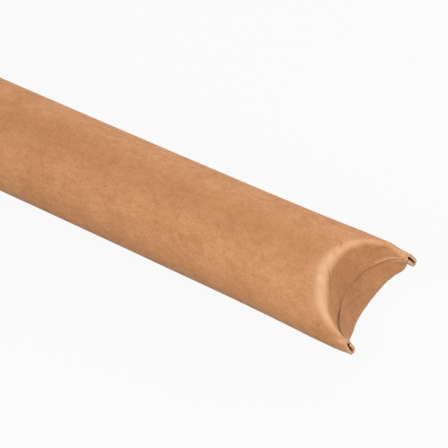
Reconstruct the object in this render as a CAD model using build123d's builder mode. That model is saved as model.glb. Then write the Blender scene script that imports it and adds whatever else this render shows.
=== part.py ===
from build123d import *
from math import acos, cos, exp, hypot, pi, sin, sqrt
import os

# Cardboard mailing tube whose two ends are closed by pairs of crimped flaps.
#
# One length of spiral-wound card tube.  At each end the wall is pushed in along two curved
# creases, so that two flaps lie across the tube and meet edge to edge, and an ear with a small
# hole stands at each side.  The card bends but doesn't stretch, so every strip of wall keeps its
# length through the fold.
#
# Frame: +X along the tube, +Z up, origin under the middle of the tube, on the surface it lies on.

os.makedirs("parts", exist_ok=True)

# ---------------------------------------------------------------- driving dimensions (mm)
inner_diameter = 50.8      # bore of the tube
wall = 1.5                 # wound card
inside_length = 305.0      # clear length between the flaps of the two ends
ear_flare = 1.35           # the crimp pushes the ears out and the flap sides in by this much
flare_run = 30.0           # distance over which the flare dies away along the tube
fold_radius = 4.6          # bend of the card's middle layer where wall turns into flap
flap_gap = 0.4             # slit left between the free edges of a pair of flaps
ear_loop_width = 3.3       # width of the loop of card at an ear, between middle layers
ear_loop_run = 9.0         # distance inward from an ear over which the loop closes to the slit
rest_roll = 29.9           # degrees that the tube lies turned about its axis

# ---------------------------------------------------------------- derived sizes
outer_radius = inner_diameter / 2 + wall
mid_radius = inner_diameter / 2 + wall / 2
ear_reach = mid_radius + ear_flare             # half width of a crimped end, ear to ear
flap_reach = mid_radius - ear_flare            # half height of a crimped end, across the flaps
fold_loss = (2 - pi / 2) * fold_radius         # a rounded corner is shorter than a sharp one
fold_depth = flap_reach - flap_gap / 2 - fold_loss   # from the ear tips down to a flap
tip_x = inside_length / 2 + wall / 2 + fold_depth
flare_x = tip_x - fold_depth - fold_radius     # the flare is whole from here to the tips
body_x = flare_x - 4 * flare_run               # no flare is left here

# ---------------------------------------------------------------- how finely a skin is drawn
points_per_quarter = 18    # points of a ring between an ear and the middle of a flap
wall_steps = 6
bend_steps = 8
flap_steps = 2


def flare(x):
    """Share of the full flare at a distance x along the tube from its middle."""
    if x <= body_x:
        return 0
    fade = exp(-(flare_x - body_x) / flare_run)
    return (exp(min(x - flare_x, 0) / flare_run) - fade) / (1 - fade)


def smooth_step(value):
    """Rise from 0 to 1 with level ends."""
    share = min(max(value, 0), 1)
    return share * share * (3 - 2 * share)


def free_edge(angle):
    """Half the gap between the rims of a pair of flaps: a round loop at the ear, then a slit."""
    loop = ear_loop_width / 2
    inward = ear_reach * (1 - abs(cos(angle)))
    round_end = sqrt(loop**2 - max(loop - inward, 0) ** 2)
    return round_end + (flap_gap / 2 - round_end) * smooth_step((inward - loop) / ear_loop_run)


def fold_of(angle):
    """Bend angle of the strip of card at an angle round the tube, and its flat flap length."""
    drop = flap_reach * abs(sin(angle)) - free_edge(angle)
    return acos(1 - min(max(drop / fold_radius, 0), 1)), max(drop - fold_radius, 0)


def card_point(angle, reach):
    """Point of the card's middle layer, measured back along the card from its free edge.

    The strip of card at an angle round the tube runs along the wall, turns through a bend of
    fold_radius and crosses to the slit.  Every strip is as long as the next, so those that have
    further to cross turn in sooner.
    """
    bend, flat = fold_of(angle)
    crossed = max(flat - reach, 0)
    turned = min(max(bend - max(reach - flat, 0) / fold_radius, 0), bend)
    straight = max(reach - flat - fold_radius * bend, 0)
    fold_x = tip_x - fold_radius * bend - flat
    x = fold_x - straight + fold_radius * sin(turned) + crossed * cos(bend)
    spread = ear_flare * flare(x)
    height = (mid_radius - spread) * abs(sin(angle))
    height -= fold_radius * (1 - cos(turned)) + crossed * sin(bend)
    side = 1 if sin(angle) >= 0 else -1
    return Vector(x, (mid_radius + spread) * cos(angle), side * height)


def skin_point(angle, reach, lift):
    """Point of a face of the card, lifted from the middle layer along its outward normal."""
    nudge = 1e-4
    around = card_point(angle + nudge, reach) - card_point(angle - nudge, reach)
    along = card_point(angle, max(reach - nudge, 0)) - card_point(angle, reach + nudge)
    return card_point(angle, reach) + around.cross(along).normalized() * lift


def station_reach(angle, station):
    """Reach of a ring of the skin: stations 0..1 are wall, 1..2 the bend and 2..3 the flap."""
    bend, flat = fold_of(angle)
    marks = [tip_x - body_x, hypot(fold_radius * bend + flat, fold_radius),
             hypot(flat, fold_radius / 2), 0]
    span = min(int(station), 2)
    return marks[span] + (marks[span + 1] - marks[span]) * (station - span)


# ---------------------------------------------------------------- rings round the tube
def ring_angles():
    """Angles of a ring's points, closest together at the ears where the card turns tightly."""
    quarter = [(pi / 2) * (i / points_per_quarter) ** 1.5 for i in range(points_per_quarter)]
    half = quarter + [pi / 2] + [pi - angle for angle in reversed(quarter)]
    return half + [pi + angle for angle in half[1:]]


def ring(end, station, lift):
    """Closed curve round the tube at one station of a skin; end is +1 or -1 along X."""
    angles = ring_angles()
    points = []
    for angle in angles[:-1]:
        point = skin_point(angle, station_reach(angle, station), lift)
        points.append(Vector(end * point.X, point.Y, point.Z))
    return Edge.make_spline(points, periodic=True, parameters=angles)


def skin_rings(end, lift):
    """Rings of one face of the card, from the round body to the free edges at one end."""
    stations = [i / wall_steps for i in range(wall_steps)]
    stations += [1 + i / bend_steps for i in range(bend_steps)]
    stations += [2 + i / flap_steps for i in range(flap_steps + 1)]
    return [ring(end, station, lift) for station in stations]


def card_rings():
    """Rings over the whole card: out and round the free edges at one end, then at the other."""
    outside = wall / 2
    inside = -wall / 2
    rings = skin_rings(+1, outside) + skin_rings(+1, inside)[::-1]
    return rings + skin_rings(-1, inside) + skin_rings(-1, outside)[::-1]


# ---------------------------------------------------------------- the tube
with BuildPart() as tube:
    rings = card_rings()
    strips = [Face.make_surface_from_curves(rings[i - 1], rings[i]) for i in range(len(rings))]
    with Locations((0, 0, outer_radius)):
        add(Solid(Shell(strips)), rotation=(rest_roll, 0, 0))

tube.part.label = "tube"
export_step(tube.part, "parts/tube.step")

print("tip to tip", round(2 * tip_x, 2), "mm; flaps set in by", round(fold_depth, 2), "mm")
print("volume", round(tube.part.volume, 1), "mm3; valid", tube.part.is_valid)
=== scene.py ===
"""Finish of the cardboard mailing tube: its wound card, curved folds, cut edges and ears.

Laid out as an add-on and run as a script.  Lengths are in metres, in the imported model's frame.
"""
import math

import bpy
import numpy as np
from mathutils import Matrix, Vector


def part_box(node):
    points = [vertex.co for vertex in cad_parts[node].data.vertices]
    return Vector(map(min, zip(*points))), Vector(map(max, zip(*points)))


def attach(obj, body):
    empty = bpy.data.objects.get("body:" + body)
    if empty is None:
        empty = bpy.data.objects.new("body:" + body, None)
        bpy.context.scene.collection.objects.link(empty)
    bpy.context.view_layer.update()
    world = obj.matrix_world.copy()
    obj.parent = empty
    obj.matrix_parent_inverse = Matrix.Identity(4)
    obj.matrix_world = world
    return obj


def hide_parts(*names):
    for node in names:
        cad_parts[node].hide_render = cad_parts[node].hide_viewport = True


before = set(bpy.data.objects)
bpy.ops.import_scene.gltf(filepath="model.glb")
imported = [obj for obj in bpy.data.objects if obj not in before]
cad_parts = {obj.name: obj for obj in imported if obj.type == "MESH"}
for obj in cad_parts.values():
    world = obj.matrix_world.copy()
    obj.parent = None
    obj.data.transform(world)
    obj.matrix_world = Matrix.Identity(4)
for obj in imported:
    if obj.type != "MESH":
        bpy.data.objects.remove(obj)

bl_info = {
    "name": "Crimped Mailing Tube",
    "version": (1, 0, 0),
    "blender": (4, 5, 0),
    "location": "View3D > Sidebar > Mailing Tube",
    "description": "Makes a wound card tube with curved crimped flaps, and a plain stage for it",
    "category": "Add Mesh",
}

MM = 0.001
LOW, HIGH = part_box("tube")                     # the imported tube's corners
SIDE_CLEARANCE = 0.02 * MM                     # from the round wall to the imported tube's sides
TIP_CLEARANCE = 0.2 * MM                       # from the ears' tips to its ends


# ------------------------------------------------------------------ what a user would change
class TubeSizes(bpy.types.PropertyGroup):
    """Sizes of the folded card."""

    wall: bpy.props.FloatProperty(
        name="Wall", description="Thickness of the wound card",
        default=1.5 * MM, unit="LENGTH", precision=4)
    fold_radius: bpy.props.FloatProperty(
        name="Fold radius", description="Bend of the card's middle layer at a crease",
        default=4.6 * MM, unit="LENGTH", precision=4)
    ear_flare: bpy.props.FloatProperty(
        name="Ear flare", description="How far the crimp pushes an ear out",
        default=1.3 * MM, unit="LENGTH", precision=4)
    flare_run: bpy.props.FloatProperty(
        name="Flare run", description="Length over which the flare dies away",
        default=30 * MM, unit="LENGTH", precision=4)
    flap_gap: bpy.props.FloatProperty(
        name="Flap gap", description="Slit between the free edges of a pair of flaps",
        default=0.08 * MM, unit="LENGTH", precision=5)
    ear_loop: bpy.props.FloatProperty(
        name="Ear loop", description="Width of the loop of card at an ear",
        default=3.3 * MM, unit="LENGTH", precision=4)
    ear_loop_run: bpy.props.FloatProperty(
        name="Ear loop run", description="Distance over which the loop closes to the slit",
        default=9 * MM, unit="LENGTH", precision=4)
    ear_flat: bpy.props.FloatProperty(
        name="Ear flat", description="Half the height of the wall that an ear's loop keeps",
        default=2.4 * MM, unit="LENGTH", precision=4)
    ear_turn: bpy.props.FloatProperty(
        name="Ear turn", description="Radius by which the rim turns back at an ear",
        default=1.3 * MM, unit="LENGTH", precision=4)
    ear_lean: bpy.props.FloatProperty(
        name="Ear lean", description="How far the near side of an ear's rim leans inward",
        default=0.8 * MM, unit="LENGTH", precision=4)
    ear_cut: bpy.props.FloatProperty(
        name="Ear cut", description="How far the near side of an ear's rim is set back",
        default=1.5 * MM, unit="LENGTH", precision=4)
    ear_nip: bpy.props.FloatProperty(
        name="Ear nip", description="How far an ear's whole rim is pressed inward",
        default=0.1 * MM, unit="LENGTH", precision=4)
    ear_short: bpy.props.FloatProperty(
        name="Ear short", description="How far the squashing shortens the first ear",
        default=0.9 * MM, unit="LENGTH", precision=4)
    second_ear_short: bpy.props.FloatProperty(
        name="Second ear short", description="How far the squashing shortens the second ear",
        default=2.34 * MM, unit="LENGTH", precision=4)
    ear_run: bpy.props.FloatProperty(
        name="Ear run", description="Length over which the squashed rim becomes round",
        default=12 * MM, unit="LENGTH", precision=4)
    bevel: bpy.props.FloatProperty(
        name="Ear bevel", description="Setback of the outer ply where the rim is crushed",
        default=0.25 * MM, unit="LENGTH", precision=4)
    lip_run: bpy.props.FloatProperty(
        name="Lip run", description="Length of card that curls outwards by an ear",
        default=3.2 * MM, unit="LENGTH", precision=4)
    lip_curl: bpy.props.FloatProperty(
        name="Lip curl", description="How far the free edge curls outwards by an ear",
        default=math.radians(28), subtype="ANGLE")
    roll: bpy.props.FloatProperty(
        name="Roll", description="Turn of the lying tube about its axis",
        default=math.radians(29.9), subtype="ANGLE")


class CardColours(bpy.types.PropertyGroup):
    """Colours of the kraft card."""

    kraft: bpy.props.FloatVectorProperty(
        name="Kraft", description="Outer face of the card", subtype="COLOR",
        default=(0.660, 0.322, 0.148), size=3)
    # Darker blotches and fibres, and also the colour of the painted shade band along the near side
    kraft_deep_and_shade: bpy.props.FloatVectorProperty(
        name="Deep kraft", description="Darker blotches and fibres", subtype="COLOR",
        default=(0.470, 0.200, 0.078), size=3)
    # Pale crease colour: stressed card with a painted highlight
    kraft_pale_and_highlight: bpy.props.FloatVectorProperty(
        name="Pale kraft", description="Stretched fibres along a crease", subtype="COLOR",
        default=(0.800, 0.490, 0.295), size=3)
    cut: bpy.props.FloatVectorProperty(
        name="Cut edge", description="Freshly cut plies at the rim", subtype="COLOR",
        default=(0.700, 0.420, 0.245), size=3)
    # Glue lines between plies, and also the colour of painted shade in pressed lines and inside
    # the tube
    glue_and_shade: bpy.props.FloatVectorProperty(
        name="Glue line", description="Thin lines between the plies of a cut edge",
        subtype="COLOR", default=(0.300, 0.130, 0.060), size=3)


class StageSettings(bpy.types.PropertyGroup):
    """Camera, lamps and floor."""

    azimuth: bpy.props.FloatProperty(
        name="Azimuth", description="Direction that the camera stands in",
        default=math.radians(42.77), subtype="ANGLE")
    elevation: bpy.props.FloatProperty(
        name="Elevation", description="Height of the camera above the horizon",
        default=math.radians(33.08), subtype="ANGLE")
    tilt: bpy.props.FloatProperty(
        name="Tilt", description="Turn of the camera about its line of sight",
        default=math.radians(2.88), subtype="ANGLE")
    distance: bpy.props.FloatProperty(
        name="Distance", description="From the camera to the point that it looks at",
        default=1.2117, unit="LENGTH")
    lens: bpy.props.FloatProperty(
        name="Lens", description="Focal length", default=209.55, subtype="DISTANCE_CAMERA")
    floor: bpy.props.FloatVectorProperty(
        name="Floor", description="Pale floor", subtype="COLOR",
        default=(0.45, 0.45, 0.45), size=3)


# ------------------------------------------------------------------ the folded card as a surface
EAR_HOLD = math.radians(16)                    # a squashed ear is whole up to here from its middle
EAR_END = math.radians(40)                     # and has given way to the folded flap here
PILED = 0.02                                   # share of its way that card past a lap still makes
LIP_START = (0.75 * MM, 3.25 * MM)             # distances inward over which a lip's curl grows
LIP_END = (15.75 * MM, 8.25 * MM)              # and dies away
LIP_SIDE = (-0.25, 0.25)                       # range of the angle's cosine
LIP_FACE = (0, 0.04)                           # and of its sine over which a lip begins


class FoldedCard:
    """Middle layer of the card at one end, as a function of the angle round the tube and reach.

    reach is measured back along the card from its free edge.  The strip of card at an angle runs
    along the wall, turns through a bend and crosses to the slit.  Every strip is as long as the
    next, so those with further to cross turn in sooner: that draws the curved crease.
    """

    def __init__(self, sizes, radius, tip, wear):
        self.sizes = sizes
        self.wear = wear
        self.middle = radius - sizes.wall / 2
        self.ear_reach = self.middle + sizes.ear_flare
        self.flap_reach = self.middle - sizes.ear_flare
        self.tip = tip
        depth = self.flap_reach - sizes.flap_gap / 2 - (2 - math.pi / 2) * sizes.fold_radius
        self.flare_x = tip - depth - sizes.fold_radius
        self.body_x = self.flare_x - 4 * sizes.flare_run

    def flare(self, x):
        """Exponential rise towards the tip, from 0 where the body is plainly round to 1."""
        run = self.sizes.flare_run
        fade = math.exp(-(self.flare_x - self.body_x) / run)
        rise = (np.exp(np.minimum(x - self.flare_x, 0) / run) - fade) / (1 - fade)
        return np.where(x <= self.body_x, 0, rise)

    def inward(self, angle):
        """Distance from the nearer ear's middle towards the tube's axis."""
        return self.ear_reach * (1 - np.abs(np.cos(angle)))

    def free_edge(self, angle):
        """Half the slit: a half circle of the loop's radius at the ear, then a smooth closing."""
        loop = self.sizes.ear_loop / 2
        inward = self.inward(angle)
        round_end = np.sqrt(loop**2 - np.maximum(loop - inward, 0)**2)
        closing = smooth_step((inward - loop) / self.sizes.ear_loop_run)
        slit = self.sizes.flap_gap / 2 + self.wear.slack(self.middle * np.cos(angle))
        return round_end + (slit - round_end) * closing

    def fold(self, angle):
        """Radius, bend arccos(1 - drop / radius), flat length drop - radius, and extra tuck."""
        radius = self.sizes.fold_radius * self.wear.sharpness(angle)
        drop = self.flap_reach * np.abs(np.sin(angle)) - self.free_edge(angle)
        bend = np.arccos(1 - np.clip(drop / radius, 0, 1))
        flat = np.maximum(drop - radius, 0)
        return radius, bend, flat, self.wear.tuck(angle, flat / self.middle)

    def folded(self, angle, reach):
        """Wall line, then a bend, then the flat flap, all at one angle.

        The bend keeps its length when the tuck makes it turn further, so its radius is its
        length over its turn.
        """
        radius, bend, flat, tuck = self.fold(angle)
        full = bend + tuck
        arc = radius * bend
        crossed = np.maximum(flat - reach, 0)
        turned = full * np.clip(1 - np.maximum(reach - flat, 0) / np.maximum(arc, 1e-9), 0, 1)
        straight = np.maximum(reach - flat - arc, 0)
        tight = np.where(full > 1e-6, arc / np.maximum(full, 1e-9), radius)
        x = self.tip - arc - flat - straight + tight * np.sin(turned) + crossed * np.cos(full)
        spread = self.sizes.ear_flare * self.flare(x)
        height = (self.middle - spread) * np.abs(np.sin(angle))
        height = height - tight * (1 - np.cos(turned)) - crossed * np.sin(full)
        side = np.where(np.sin(angle) >= 0, 1.0, -1.0)
        flap = np.stack([x, (self.middle + spread) * np.cos(angle), side * height], -1)
        squashed, share, _ = self.ear_rim(angle, reach)
        return flap + share[..., None] * (squashed - flap)

    def ear_rim(self, angle, reach):
        """Plain wall whose rim is squashed to a loop by an ear, and its share of the card.

        By its length from the ear's middle, the rim first keeps the wall's own arc, then turns
        back through a half circle, then lies flat behind the wall as far as the flap's lap.  It
        eases into the round wall over the ear's run.  The third value is the turn so far.
        """
        sizes = self.sizes
        ear = np.where(np.cos(angle) >= 0, 1.0, -1.0)
        side = np.where(np.sin(angle) >= 0, 1.0, -1.0)
        from_ear = np.arcsin(np.abs(np.sin(angle)))
        length = self.middle * from_ear
        spread = sizes.ear_flare * self.flare(self.tip - reach)
        wide, high = self.middle + spread, self.middle - spread

        kept = np.minimum(length, sizes.ear_flat) / self.middle
        turned = np.clip((length - sizes.ear_flat) / sizes.ear_turn, 0, math.pi)
        behind = np.maximum(length - sizes.ear_flat - math.pi * sizes.ear_turn, 0)
        inward = wide * (1 - np.cos(kept)) + sizes.ear_turn * (1 - np.cos(turned))
        height = high * np.sin(kept) + sizes.ear_turn * np.sin(turned) - behind
        lap = self.wear.lap(angle)
        height = np.maximum(height, lap) + PILED * np.minimum(height - lap, 0)

        eased = smooth_step(reach / sizes.ear_run)
        squashed = 1 - eased
        across = squashed * ear * (wide - inward) + eased * wide * np.cos(angle)
        height = side * (squashed * height + eased * high * np.abs(np.sin(angle)))
        extreme = sizes.ear_flat + sizes.ear_turn
        nearness = np.clip((height + extreme) / (2 * extreme), 0, 1)
        across = across - squashed * ear * (sizes.ear_lean * nearness**2 + sizes.ear_nip)
        short = np.where(ear > 0, sizes.ear_short, sizes.second_ear_short)
        x = self.tip - reach - squashed * (sizes.ear_cut * nearness + short)
        share = np.broadcast_to(ramp(from_ear, EAR_END, EAR_HOLD), across.shape)
        return np.stack([x, across, height], -1), share, turned * squashed

    def point(self, angle, reach):
        """The folded card with its free edge curled outwards beside the ears.

        Over the lip's run the card follows an arc: it leaves the flap by radius (1 - cos) and
        falls short along the flap by run - radius sin.
        """
        inward = self.inward(angle)
        share = ramp(inward, *LIP_START) * ramp(inward, *LIP_END)
        share = share * ramp(np.cos(angle), *LIP_SIDE) * ramp(np.sin(angle), *LIP_FACE)
        curl = np.maximum(self.sizes.lip_curl * share, 1e-4)
        radius = self.sizes.lip_run / curl
        run = np.maximum(self.sizes.lip_run - reach, 0)
        normal, along = self.directions(self.folded, angle, reach)
        leave = (radius * (1 - np.cos(run / radius)))[..., None]
        short = (run - radius * np.sin(run / radius))[..., None]
        return self.folded(angle, reach) + normal * leave - along * short

    def directions(self, surface, angle, reach):
        """Outward unit normal, and unit direction towards the free edge, by small differences."""
        turn, step = 1e-4, 2e-6
        around = surface(angle + turn, reach) - surface(angle - turn, reach)
        along = surface(angle, np.maximum(reach - step, 0)) - surface(angle, reach + step)
        normal = np.cross(around, along)
        return (normal / np.linalg.norm(normal, axis=-1, keepdims=True),
                along / np.linalg.norm(along, axis=-1, keepdims=True))

    def normal(self, angle, reach):
        """Outward unit normal of the curled card."""
        return self.directions(self.point, angle, reach)[0]

    def marks(self, angle):
        """Reach at the start of the wall, of the bend and of the flap, and at the free edge."""
        radius, bend, flat, _ = self.fold(angle)
        wall = np.full_like(angle, self.tip - self.body_x)
        return [wall, np.hypot(radius * bend + flat, radius), np.hypot(flat, radius / 2),
                np.zeros_like(angle)]


def smooth_step(value):
    """3v^2 - 2v^3 on v held between 0 and 1."""
    share = np.clip(value, 0, 1)
    return share * share * (3 - 2 * share)


def ramp(value, first, last):
    """Smooth step from 0 at the first value to 1 at the last, which may be the lower one."""
    return smooth_step((value - first) / (last - first))


def one_sided(angle):
    """1 by the first ear on the near flap and by the second on the far one, -1 at the others."""
    return np.cos(angle) * np.tanh(np.sin(angle) / 0.05)


def hump(value, centre, width):
    """Bell curve exp(-((v - centre) / width)^2)."""
    return np.exp(-((value - centre) / width)**2)


def line_distance(across, reach, line):
    """Distance to the nearest stretch of a line, and how far along the whole line that is.

    The nearest place on a stretch is the projection of the point on it, held to its two ends.
    """
    place = np.stack(np.broadcast_arrays(across, reach), -1)
    line = np.asarray(line) * MM
    nearest = np.full(place.shape[:-1], np.inf)
    along = np.zeros_like(nearest)
    for number, (start, end) in enumerate(zip(line[:-1], line[1:])):
        step = end - start
        share = np.clip((place - start) @ step / (step @ step), 0, 1)
        away = np.linalg.norm(place - start - share[..., None] * step, axis=-1)
        closer = away < nearest
        nearest = np.where(closer, away, nearest)
        along = np.where(closer, (number + share) / (len(line) - 1), along)
    return nearest, along


class EndWear:
    """How one hand-crimped end differs from a perfect one.

    twist is the extra bend that sinks a flap, kink the angle in degrees of the crease's sharpest
    place, and gape the widest that the slit stands open.  lines are creases pressed into the near
    flap, as (across, reach) in millimetres from the tube's axis towards the first ear and back
    from the free edge, with a width and a depth.
    """

    PROUD = 0.8                                # most of a flap's twist that lifts it
    GAPE_PLACE = -12.5 * MM                    # across the tube, towards the second ear
    GAPE_WIDTH = 5 * MM
    NEAR_LAP, FAR_LAP = 1.9 * MM, -1.3 * MM    # each on its own flap's side of the middle
    FIRST_TIGHTNESS = 0.50                     # share of the fold radius lost by the first ear
    CHANGES = ((-0.45, 0, 3.5), (-0.30, 17, 11), (0.22, 72, 34))   # share, degrees past the kink
    LINE_END = 0.03                            # share of a pressed line left out at each end

    def __init__(self, twist, kink, gape, lines):
        self.twist = twist
        self.gape = gape
        self.kink = kink
        self.lines = lines

    def tuck(self, angle, reach_share):
        """Extra bend that sinks each flap below its partner near one ear.

        across changes sign from ear to ear and from flap to flap, so each flap lies deep at one
        ear and stands a little proud at the other.
        """
        across = np.cos(angle) * np.sign(np.sin(angle))
        return self.twist * np.maximum(-across, -self.PROUD) * ramp(reach_share, 0, 0.25)

    def slack(self, across):
        """How far each free edge stays back from the other where the slit gapes."""
        return self.gape * hump(across, self.GAPE_PLACE, self.GAPE_WIDTH)

    def lap(self, angle):
        """Height at which each flap ends behind an ear: the far flap passes the middle."""
        return np.where(np.sin(angle) >= 0, self.NEAR_LAP, self.FAR_LAP)

    def sharpness(self, angle):
        """Share of the fold radius: tight by the first ear, tightest at the kink, then full.

        Each change multiplies the share by 1 + change . bell curve about its own place.
        """
        degrees = np.degrees(angle)
        share = 1 - self.FIRST_TIGHTNESS * ramp(np.abs(degrees), 75, 30)
        for change, past, width in self.CHANGES:
            share = share * (1 + change * hump(degrees, self.kink + past, width))
        return 1 + ramp(np.sin(angle), 0, 0.25) * (share - 1)

    def relief(self, card, angle, reach):
        """Depth of the pressed lines, and how strongly each place is creased: the share of painted
        shade along them.
        """
        across = card.middle * np.cos(angle)
        near = ramp(np.sin(angle), 0, 1 / 6)
        depth = np.zeros(np.broadcast(angle, reach).shape)
        mark = depth.copy()
        for line, width, press in self.lines:
            away, along = line_distance(across, reach, line)
            along = np.clip(along, self.LINE_END, 1 - self.LINE_END)
            fade = np.sqrt(np.sin(math.pi * along))
            groove = np.exp(-(away / (width * MM))**2) * fade * near
            depth = depth - groove * press * MM
            mark = np.maximum(mark, groove)
        return depth, mark


# Creases pressed into the shown end's near flap: (across, reach) points, width and depth in mm.
PRESSED_LINES = (
    (((12.6, 25.0), (10.5, 24.2), (8.2, 23.2)), 0.30, 0.22),
    (((-2.2, 22.6), (-4.6, 19.4), (-8.6, 14.5), (-15.4, 9.5)), 0.45, 0.16),
    (((-0.6, 20.8), (-2.6, 18.2), (-5.4, 15.4)), 0.35, 0.10),
)
SHOWN_WEAR = EndWear(twist=0.075, kink=49, gape=0.9 * MM, lines=PRESSED_LINES)
OTHER_WEAR = EndWear(twist=-0.05, kink=118, gape=0.2 * MM, lines=())
DENT = 0.05 * MM                               # depth of a wave of height 1


def body_dents(angle, x):
    """Shallow dents of the wall: a sum of long waves, less 1.6 so that none stands out."""
    wave = (np.sin(2 * angle + 31 * x + 0.4) * np.sin(47 * x + 1.1)
            + 0.6 * np.sin(3 * angle - 58 * x) * np.sin(29 * x + 2.0))
    return -DENT * (1.6 + wave)


# ------------------------------------------------------------------ rings of the card's skin
COLUMNS = 424                                  # places round the tube
EAR_CROWDING = 1.35                            # power that draws them together at the ears
RIM_EASE = 0.10 * MM                           # rounding of the rim's corners
WALL_ROWS, BEND_ROWS, FLAP_ROWS, RIM_ROWS = 20, 22, 30, 8
INNER_FLAP_ROWS, INNER_BEND_ROWS, INNER_WALL_ROWS = 6, 7, 7
BODY_ROWS, INNER_BODY_ROWS = 22, 6
RAGGED = 0.04 * MM                             # unevenness of the torn rim
CRUSHED = (10 * MM, 2 * MM)                    # distances inward over which the rim gets crushed
LIP_HIGHLIT = (12.8 * MM, 4.8 * MM)             # and over which a lip gets a painted highlight
LIP_HIGHLIGHT_RUN = 2.2 * MM                             # width of the painted highlight along a lip
DENT_RUN = 12 * MM                             # from the crease to where the wall is fully dented


def ring_angles(count):
    """Angles round the tube, closer together at the ears, by a power of the share of a quarter."""
    share = np.arange(count // 4) / (count // 4)
    quarter = (math.pi / 2) * share**EAR_CROWDING
    half = np.concatenate([quarter, [math.pi / 2], math.pi - quarter[:0:-1]])
    return np.concatenate([half, math.pi + half])


def rubbed_and_highlit(card, angle, reach):
    """How pale each place is: stressed card plus a painted highlight along the crease and round an
    ear's turn, and a painted highlight along a lip.
    """
    radius, bend, flat, _ = card.fold(angle)
    place = (reach - flat) / (radius * math.pi / 2)
    strength = ramp(bend / (math.pi / 2), 3 / 13, 1)
    # The painted highlight on the crease is kept weaker towards the first ear
    shown = ramp(np.abs(np.sin(angle / 2)), 0.3, 0.7)
    crease = hump(place, 0.55, 0.42) * strength * (0.35 + 0.65 * shown)
    _, share, turned = card.ear_rim(angle, reach)
    crease = crease * (1 - share) + share * 0.7 * np.sin(turned)**2
    # Painted highlight along the free edge where a lip curls outwards
    lip = ramp(card.inward(angle), *LIP_HIGHLIT) * ramp(one_sided(angle), 0, 0.5)
    return np.maximum(crease, hump(reach, 0, LIP_HIGHLIGHT_RUN) * lip * 0.6)


def end_rings(card, angle):
    """Skin of one end from the round body, round the rim and back inside.

    Every ring is (points, cut share, ply share, crease share, wrinkle share, inside share).  The
    outer face is lifted half a wall from the middle layer and the inner face sunk by as much.
    Near the ears the rim slants: its outer corner is set back by the bevel.
    """
    half = card.sizes.wall / 2
    crushed = ramp(card.inward(angle), *CRUSHED)
    wall, bend, flap, edge = card.marks(angle)
    corner = np.minimum(edge + card.sizes.bevel * (0.03 + 0.97 * crushed), flap * 0.8 + 0.2 * MM)
    ragged = np.sin(angle * 61) + np.sin(angle * 97 + 1) * 0.8 + np.sin(angle * 173 + 2)
    ragged = ragged * RAGGED * (0.1 + 0.9 * crushed)
    rings = []

    def add(reach, lift, cut, inside):
        relief, wrinkle = card.wear.relief(card, angle, reach)
        base = card.point(angle, reach)
        dents = body_dents(angle, base[..., 0]) * ramp(reach, bend, bend + DENT_RUN)
        lift = lift + (relief + dents) * (1 - cut)
        points = base + card.normal(angle, reach) * lift[..., None]
        ply = np.clip((half - lift) / (2 * half), 0, 1)
        shown = 1 - inside
        rings.append((points, np.full_like(angle, cut), ply, rubbed_and_highlit(card, angle, reach) * shown,
                      wrinkle * shown, np.full_like(angle, inside)))

    def outer(first, last, shares):
        for share in shares:
            add(first + (last - first) * share, half, 0.0, 0.0)

    def inner(first, last, count):
        for share in np.linspace(0, 1, count + 1)[1:]:
            add(last + (first - last) * (1 - share), -half, 0.0, 1.0)

    outer(wall, bend, np.linspace(0, 1, WALL_ROWS + 1)[:-1]**0.75)
    outer(bend, flap, np.linspace(0, 1, BEND_ROWS + 1)[:-1])
    outer(flap, corner, np.linspace(0, 1, FLAP_ROWS + 1))
    for share in np.linspace(0, 1, RIM_ROWS):
        reach = corner + (edge - corner) * (0.08 + 0.92 * share)
        level = (half - RIM_EASE) * (1 - 2 * share)
        add(reach + ragged * math.sin(math.pi * share), level, 1.0, 0.0)
    add(edge + RIM_EASE, -half, 0.0, 1.0)
    inner(edge, flap, INNER_FLAP_ROWS)
    inner(flap, bend, INNER_BEND_ROWS)
    inner(bend, wall, INNER_WALL_ROWS)
    return rings


def straight_rings(first, last, count):
    """Rings between two others, at even shares of the way."""
    shares = np.linspace(0, 1, count + 2)[1:-1]
    return [tuple(a + (b - a) * share for a, b in zip(first, last)) for share in shares]


def turned_end(rings):
    """The same rings for the other end of the tube: x is negated."""
    flip = np.array([-1.0, 1.0, 1.0])
    return [(points * flip, *rest) for points, *rest in rings]


def closed_skin(rings):
    """Stacks the rings and gives the quads that join each to the next, the last to the first."""
    layers = [np.stack([ring[i] for ring in rings]) for i in range(len(rings[0]))]
    rows, columns = layers[1].shape
    index = np.arange(rows * columns).reshape(rows, columns)
    below = np.roll(index, -1, axis=0)
    quads = np.stack([index, np.roll(index, -1, axis=1), np.roll(below, -1, axis=1), below], -1)
    return layers, quads.reshape(-1, 4)


def signed_volume(points, quads):
    """A sixth of the sum of corner . (corner x corner) over the quads' triangles."""
    a, b, c, d = (points[quads[:, i]] for i in range(4))
    first = np.einsum("ij,ij->i", a, np.cross(b, c)).sum()
    return (first + np.einsum("ij,ij->i", a, np.cross(c, d)).sum()) / 6


def laid_down(points, roll, height):
    """Turns the tube about its axis by roll and lifts its axis to height."""
    turn = np.array([[1, 0, 0],
                     [0, math.cos(roll), -math.sin(roll)],
                     [0, math.sin(roll), math.cos(roll)]])
    return points @ turn.T + np.array([0, 0, height])


def mesh_object(name, points, quads, fields):
    """A smooth mesh with one float attribute for each field."""
    if not np.isfinite(points).all():
        raise ValueError(f"{name} has corners that aren't finite")
    mesh = bpy.data.meshes.new(name)
    mesh.vertices.add(len(points))
    mesh.vertices.foreach_set("co", points.ravel())
    mesh.loops.add(quads.size)
    mesh.loops.foreach_set("vertex_index", quads.ravel())
    mesh.polygons.add(len(quads))
    mesh.polygons.foreach_set("loop_start", np.arange(0, quads.size, 4))
    mesh.polygons.foreach_set("use_smooth", np.ones(len(quads), bool))
    mesh.update(calc_edges=True)
    for field, values in fields.items():
        layer = mesh.attributes.new(field, "FLOAT", "POINT")
        layer.data.foreach_set("value", values.ravel().astype(np.float32))
    if mesh.validate():
        raise RuntimeError(f"{name} has faces that aren't valid")
    piece = bpy.data.objects.new(name, mesh)
    bpy.context.scene.collection.objects.link(piece)
    return piece


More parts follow.
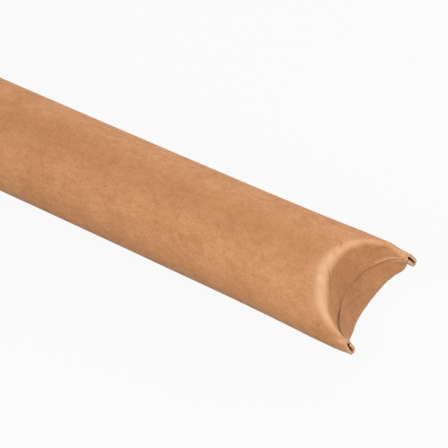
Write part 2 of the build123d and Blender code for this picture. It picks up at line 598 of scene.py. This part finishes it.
# ------------------------------------------------------------------ shader maths as expressions
class Value:
    """A shader socket that can be used in sums with numbers and other sockets."""

    def __init__(self, graph, socket):
        self.graph = graph
        self.socket = socket

    def sum_with(self, operation, *values):
        """Math node on two values, each a socket's or a number."""
        return self.graph.add("ShaderNodeMath", {"operation": operation}, enumerate(values))

    def __add__(self, other):
        return self.sum_with("ADD", self, other)

    def __sub__(self, other):
        return self.sum_with("SUBTRACT", self, other)

    def __rsub__(self, other):
        return self.sum_with("SUBTRACT", other, self)

    def __mul__(self, other):
        return self.sum_with("MULTIPLY", self, other)

    __radd__ = __add__
    __rmul__ = __mul__


class Graph:
    """The nodes of one material or world."""

    def __init__(self, owner):
        owner.use_nodes = True
        self.tree = owner.node_tree
        self.tree.nodes.clear()

    def add(self, kind, settings, values=(), output=0):
        """Adds any node: its settings are set first, then its sockets by place or by name."""
        made = self.tree.nodes.new(kind)
        for key, value in settings.items():
            setattr(made, key, value)
        for key, value in dict(values).items():
            if isinstance(value, Value):
                self.tree.links.new(value.socket, made.inputs[key])
            else:
                made.inputs[key].default_value = value
        return Value(self, made.outputs[output]) if len(made.outputs) else None

    def blend(self, factor, first, second):
        """Mix of two colours by a factor held between 0 and 1."""
        settings = {"data_type": "RGBA", "clamp_factor": True}
        return self.add("ShaderNodeMix", settings, {0: factor, 6: first, 7: second}, 2)

    def noise(self, place, scale, detail, roughness=0.55):
        """Noise about 0.5 with so many features a metre."""
        values = {"Vector": place, "Scale": scale, "Detail": detail, "Roughness": roughness}
        return self.add("ShaderNodeTexNoise", {}, values)

    def stretched(self, place, scale, turn=(0, 0, 0)):
        """A place turned and stretched unevenly."""
        values = {"Vector": place, "Scale": scale, "Rotation": turn}
        return self.add("ShaderNodeMapping", {"vector_type": "TEXTURE"}, values)

    def ramp(self, value, low, high):
        """Smooth 0 to 1 as the value goes from low to high."""
        settings = {"interpolation_type": "SMOOTHSTEP", "clamp": True}
        return self.add("ShaderNodeMapRange", settings,
                        {0: value, 1: low, 2: high, 3: 0.0, 4: 1.0})

    def field(self, name):
        """One of the mesh's own float attributes."""
        return self.add("ShaderNodeAttribute", {"attribute_name": name}, (), "Fac")

    def seen(self):
        """1 on rays from the camera or by way of a mirror or glass, else 0."""
        rays = [self.add("ShaderNodeLightPath", {}, (), ray)
                for ray in ("Is Camera Ray", "Is Glossy Ray", "Is Transmission Ray")]
        return rays[0] + rays[1] + rays[2]


def opaque(colour):
    """Colour with full alpha."""
    return (*colour, 1.0)


BLOTCHES, CLOUDS, FIBRES, HAIRS, SPECKS = 60, 300, 1500, 1300, 1100   # features a metre
BLOTCH_TONE, CLOUD_TONE, FIBRE_TONE, HAIR_TONE, SPECK_TONE = 1.05, 1.35, 2.0, 1.0, 0.3
TONE = 0.42                                    # share of the deep kraft where all are average
MEAN = 0.5                                     # of any noise
SHADE_BAND_TONE = 0.34                               # share of the deep kraft painted as shade along the band
LINE_SHADE_TONE = 0.7                             # share of the glue's brown painted as shade in a pressed line
INSIDE_SHADE_TONE = 0.92                             # and painted as shade inside the tube
PLIES = 4                                      # seen at a cut edge
GRAIN_DEPTH = 0.00012                          # metres
GLOSS = 0.12
CARD_ROUGHNESS = 0.58
SEEN_WHITE = 0.93                              # share of plain white in the floor when seen


def card_material(colours):
    """Kraft card: formation blotches, fibres, pale creases with a painted highlight, painted shade
    and a cut edge of plies.
    """
    material = bpy.data.materials.new("kraft_card")
    graph = Graph(material)
    place = graph.add("ShaderNodeTexCoord", {}, (), "Object")
    along = graph.stretched(place, (1.6, 1.0, 1.0))
    blotch = graph.noise(place, BLOTCHES, 3) - MEAN
    cloud = graph.noise(along, CLOUDS, 4, 0.62) - MEAN
    fibres = graph.stretched(place, (1.9, 0.8, 0.8), (0, 0, 0.5))
    fibre = graph.noise(fibres, FIBRES, 3, 0.65)
    hairs = graph.stretched(place, (0.5, 2.2, 2.2), (0.3, 0.2, -0.7))
    hair = graph.noise(hairs, HAIRS, 2, 0.5) - MEAN
    speck = graph.ramp(graph.noise(along, SPECKS, 2), 0.66, 0.76)
    crease, cut, ply = graph.field("crease"), graph.field("cut"), graph.field("ply")
    wrinkle, inside, shade_band = graph.field("wrinkle"), graph.field("inside"), graph.field("shade_band")
    kraft, deep = opaque(colours.kraft), opaque(colours.kraft_deep_and_shade)
    pale, glue_and_shade = opaque(colours.kraft_pale_and_highlight), opaque(colours.glue_and_shade)

    tone = blotch * BLOTCH_TONE + cloud * CLOUD_TONE + (fibre - MEAN) * FIBRE_TONE
    tone = tone + hair * HAIR_TONE + TONE + speck * SPECK_TONE
    face = graph.blend(tone, kraft, deep)
    # Painted shade: a darker band of deep kraft along the near side
    face = graph.blend(shade_band * SHADE_BAND_TONE, face, deep)
    # Pale crease: stressed card with a painted highlight, also the painted highlight along curled
    # lips
    face = graph.blend(crease * (cloud * 1.2 + 0.62), face, pale)
    # Painted shade in the grooves of the pressed lines
    face = graph.blend(wrinkle * LINE_SHADE_TONE, face, glue_and_shade)
    lines = graph.add("ShaderNodeMath", {"operation": "PINGPONG"},
                      {0: ply + cloud * 0.10, 1: 0.5 / PLIES})
    glued = (1 - graph.ramp(lines, 0.005, 0.045)) * 0.5
    edge = graph.blend(glued + (fibre - MEAN) * 1.2, opaque(colours.cut), glue_and_shade)
    colour = graph.blend(cut, face, edge)
    # Painted shade inside the tube
    colour = graph.blend(inside * INSIDE_SHADE_TONE, colour, glue_and_shade)

    relief = cloud * 0.6 + (fibre - MEAN) * 0.6 + cut * (lines * 4 + fibre * 1.5)
    normal = graph.add("ShaderNodeBump", {}, {
        "Strength": 0.5, "Distance": GRAIN_DEPTH, "Height": relief})
    surface = graph.add("ShaderNodeBsdfPrincipled", {}, {
        "Base Color": colour,
        "Roughness": cloud * 0.25 + cut * 0.25 + CARD_ROUGHNESS,
        "Normal": normal,
        "Specular IOR Level": GLOSS,
    })
    graph.add("ShaderNodeOutputMaterial", {}, {"Surface": surface})
    return material


def floor_material(colour):
    """Matt pale floor that the camera sees partly lit by itself, so that it stays near white."""
    material = bpy.data.materials.new("pale_floor")
    graph = Graph(material)
    matt = graph.add("ShaderNodeBsdfDiffuse", {}, {"Color": opaque(colour)})
    white = graph.add("ShaderNodeEmission", {}, {"Color": (1, 1, 1, 1), "Strength": 1.0})
    share = graph.seen() * SEEN_WHITE
    surface = graph.add("ShaderNodeMixShader", {}, {0: share, 1: matt, 2: white})
    graph.add("ShaderNodeOutputMaterial", {}, {"Surface": surface})
    return material


# ------------------------------------------------------------------ operators
SHADE_BAND_PLACE, SHADE_BAND_WIDTH = math.radians(84), math.radians(20)   # painted shade: a darker band along the near side


class MAILINGTUBE_OT_tube(bpy.types.Operator):
    """Make the crimped card tube"""

    bl_idname = "mailing_tube.tube"
    bl_label = "Card Tube"

    def execute(self, context):
        sizes = context.scene.tube_sizes
        radius = (HIGH[2] - LOW[2]) / 2 - SIDE_CLEARANCE
        tip = HIGH[0] - TIP_CLEARANCE
        angle = ring_angles(COLUMNS)
        shown = end_rings(FoldedCard(sizes, radius, tip, SHOWN_WEAR), angle)
        other = turned_end(end_rings(FoldedCard(sizes, radius, tip, OTHER_WEAR), angle))
        outside = straight_rings(other[0], shown[0], BODY_ROWS)
        inside = straight_rings(shown[-1], other[-1], INNER_BODY_ROWS)
        layers, quads = closed_skin(shown + inside + other[::-1] + outside)
        fields = dict(zip(("cut", "ply", "crease", "wrinkle", "inside"), layers[1:]))
        turn = np.broadcast_to(angle, fields["cut"].shape)
        # Mask of the painted shade band along the near side
        fields["shade_band"] = hump(turn, SHADE_BAND_PLACE, SHADE_BAND_WIDTH) * (1 - fields["inside"])
        points = laid_down(layers[0].reshape(-1, 3), sizes.roll, (HIGH[2] + LOW[2]) / 2)
        if signed_volume(points, quads) < 0:
            quads = quads[:, ::-1]
        tube = mesh_object("card_tube", points, quads, fields)
        tube.data.materials.append(card_material(context.scene.tube_colours))
        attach(tube, "root")
        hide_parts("tube")
        return {"FINISHED"}


def facing(towards, tilt=0.0):
    """Rotation that points -Z along a direction, with +Y up, turned by tilt about it."""
    return (towards.to_track_quat("-Z", "Y").to_matrix() @ Matrix.Rotation(tilt, 3, "Z")).to_4x4()


def add_lamp(name, place, target, width, height, watts):
    """Soft rectangular lamp at a place, aimed at the target."""
    data = bpy.data.lights.new(name, "AREA")
    data.shape = "RECTANGLE"
    data.size = width
    data.size_y = height
    data.energy = watts
    lamp = bpy.data.objects.new(name, data)
    lamp.matrix_world = Matrix.Translation(place) @ facing(target - place)
    bpy.context.scene.collection.objects.link(lamp)


AIM = Vector((-69.0, -32.9, 34.9)) * MM        # point that the camera looks at, from the tip
NEAR_CLIP, FAR_CLIP = 0.05, 50
LIT_PLACE = Vector((0.08, 0, 0.03))            # point that the lamps are aimed at
LAMPS = (                                      # name, place, width, height and watts
    ("key", (0.48, -1.10, 0.80), 0.8, 0.6, 16.4),
    ("side", (1.10, 0.50, 0.45), 0.6, 0.5, 3.1),
    ("rim", (-0.40, 1.05, 0.90), 1.0, 0.5, 4.2),
    ("back", (0.50, 0.98, 0.75), 1.2, 0.5, 7.5),
)
WORLD_LIGHT = 0.22
FLOOR_REACH = 12.0                             # half the floor's side


class MAILINGTUBE_OT_stage(bpy.types.Operator):
    """Make the camera, lamps, world and floor"""

    bl_idname = "mailing_tube.stage"
    bl_label = "Stage"

    def execute(self, context):
        stage = context.scene.tube_stage
        tip = Vector((HIGH[0], 0, (HIGH[2] + LOW[2]) / 2))
        aim = tip + AIM
        back = Vector((math.sin(stage.azimuth) * math.cos(stage.elevation),
                       -math.cos(stage.azimuth) * math.cos(stage.elevation),
                       math.sin(stage.elevation)))
        camera = bpy.data.objects.new("camera", bpy.data.cameras.new("camera"))
        camera.data.lens = stage.lens
        camera.data.clip_start = NEAR_CLIP
        camera.data.clip_end = FAR_CLIP
        camera.matrix_world = (Matrix.Translation(aim + back * stage.distance)
                               @ facing(-back, -stage.tilt))
        context.scene.collection.objects.link(camera)
        context.scene.camera = camera

        for name, place, width, height, watts in LAMPS:
            add_lamp(name, Vector(place), LIT_PLACE, width, height, watts)
        self.make_world(context)
        self.make_floor(stage)
        context.scene.view_settings.view_transform = "Standard"
        return {"FINISHED"}

    def make_world(self, context):
        """White where it is seen, and a low even light on the tube."""
        world = bpy.data.worlds.new("studio")
        graph = Graph(world)
        full = {"Color": (1, 1, 1, 1), "Strength": 1.0}
        low = graph.add("ShaderNodeBackground", {}, {**full, "Strength": WORLD_LIGHT})
        white = graph.add("ShaderNodeBackground", {}, full)
        surface = graph.add("ShaderNodeMixShader", {}, {0: graph.seen(), 1: low, 2: white})
        graph.add("ShaderNodeOutputWorld", {}, {"Surface": surface})
        context.scene.world = world

    def make_floor(self, stage):
        """A wide flat square under the tube."""
        reach = FLOOR_REACH
        corners = np.array([[-reach, -reach, 0], [reach, -reach, 0],
                            [reach, reach, 0], [-reach, reach, 0]]) + [0, 0, LOW[2]]
        floor = mesh_object("floor", corners, np.array([[0, 1, 2, 3]]), {})
        floor.data.materials.append(floor_material(stage.floor))


class MAILINGTUBE_PT_panel(bpy.types.Panel):
    """Lists the pieces and their settings"""

    bl_idname = "MAILINGTUBE_PT_panel"
    bl_label = "Mailing Tube"
    bl_space_type = "VIEW_3D"
    bl_region_type = "UI"
    bl_category = "Mailing Tube"

    def draw(self, context):
        scene = context.scene
        for group in (scene.tube_sizes, scene.tube_colours, scene.tube_stage):
            for key in group.__annotations__:
                self.layout.prop(group, key)
        self.layout.operator(MAILINGTUBE_OT_tube.bl_idname)
        self.layout.operator(MAILINGTUBE_OT_stage.bl_idname)


CLASSES = (TubeSizes, CardColours, StageSettings,
           MAILINGTUBE_OT_tube, MAILINGTUBE_OT_stage, MAILINGTUBE_PT_panel)


def register():
    """Adds the classes and their settings to Blender."""
    for item in CLASSES:
        bpy.utils.register_class(item)
    bpy.types.Scene.tube_sizes = bpy.props.PointerProperty(type=TubeSizes)
    bpy.types.Scene.tube_colours = bpy.props.PointerProperty(type=CardColours)
    bpy.types.Scene.tube_stage = bpy.props.PointerProperty(type=StageSettings)


def unregister():
    """Takes them out again."""
    for name in ("tube_stage", "tube_colours", "tube_sizes"):
        delattr(bpy.types.Scene, name)
    for item in reversed(CLASSES):
        bpy.utils.unregister_class(item)


def main():
    """Makes the tube and its stage."""
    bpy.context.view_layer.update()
    register()
    bpy.ops.mailing_tube.tube()
    bpy.ops.mailing_tube.stage()


if __name__ == "__main__":
    main()
